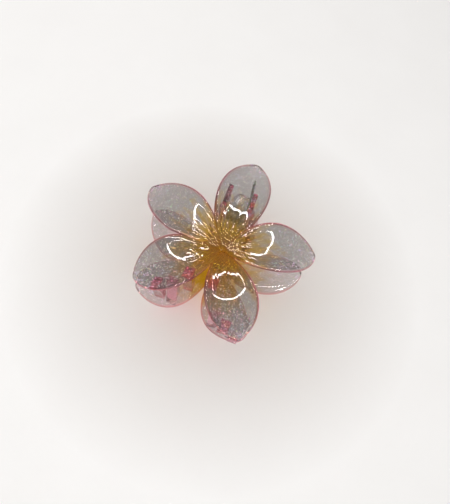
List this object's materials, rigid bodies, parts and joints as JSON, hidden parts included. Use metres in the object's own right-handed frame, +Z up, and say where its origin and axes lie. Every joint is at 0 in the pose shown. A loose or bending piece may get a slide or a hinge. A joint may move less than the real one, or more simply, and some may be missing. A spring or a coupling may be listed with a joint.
{
  "type": "hair claw clip",
  "caption": "Clear pink plastic hair claw clip with two five-petal flower jaws on a steel pin, closed by a torsion spring.",
  "frame": {"origin": "middle of the closed clip's footprint, on the surface it lies on", "axes": "+Z up as it lies on its rear flower, hinge pin along X, top petals towards +Y"},
  "size_m": [0.0736, 0.0729, 0.0423],
  "materials": {
    "clear_pink_plastic": "clear moulded plastic with fine glitter, glossy",
    "yellow_centre": "clear moulded plastic with a yellow tint sprayed on the centre, glossy",
    "spring_steel": "dull oiled spring wire",
    "pin_steel": "plain drawn steel"
  },
  "bodies": {
    "rear_jaw": {"rear_petal_top": "clear_pink_plastic", "rear_petal_upper_left": "clear_pink_plastic", "rear_petal_lower_left": "clear_pink_plastic", "rear_petal_lower_right": "clear_pink_plastic", "rear_petal_upper_right": "clear_pink_plastic", "rear_flower_centre": "yellow_centre", "rear_teeth_left": "clear_pink_plastic", "rear_teeth_right": "clear_pink_plastic", "rear_hinge_lugs": "clear_pink_plastic", "hinge_pin": "pin_steel", "torsion_spring": "spring_steel"},
    "front_jaw": {"front_petal_top": "clear_pink_plastic", "front_petal_upper_left": "clear_pink_plastic", "front_petal_lower_left": "clear_pink_plastic", "front_petal_lower_right": "clear_pink_plastic", "front_petal_upper_right": "clear_pink_plastic", "front_flower_centre": "yellow_centre", "front_teeth_left": "clear_pink_plastic", "front_teeth_right": "clear_pink_plastic", "front_hinge_lugs": "clear_pink_plastic"}
  },
  "joints": [
    {"name": "jaw_hinge", "type": "hinge", "parent": "rear_jaw", "child": "front_jaw", "pos_m": [-0.00027, 0.01644, 0.02118], "axis": [-1, 0, 0], "range_deg": [0, 50], "stiffness_Nm_per_rad": 0.15, "springref_deg": -34.38, "deforming": ["torsion_spring"]}
  ]
}
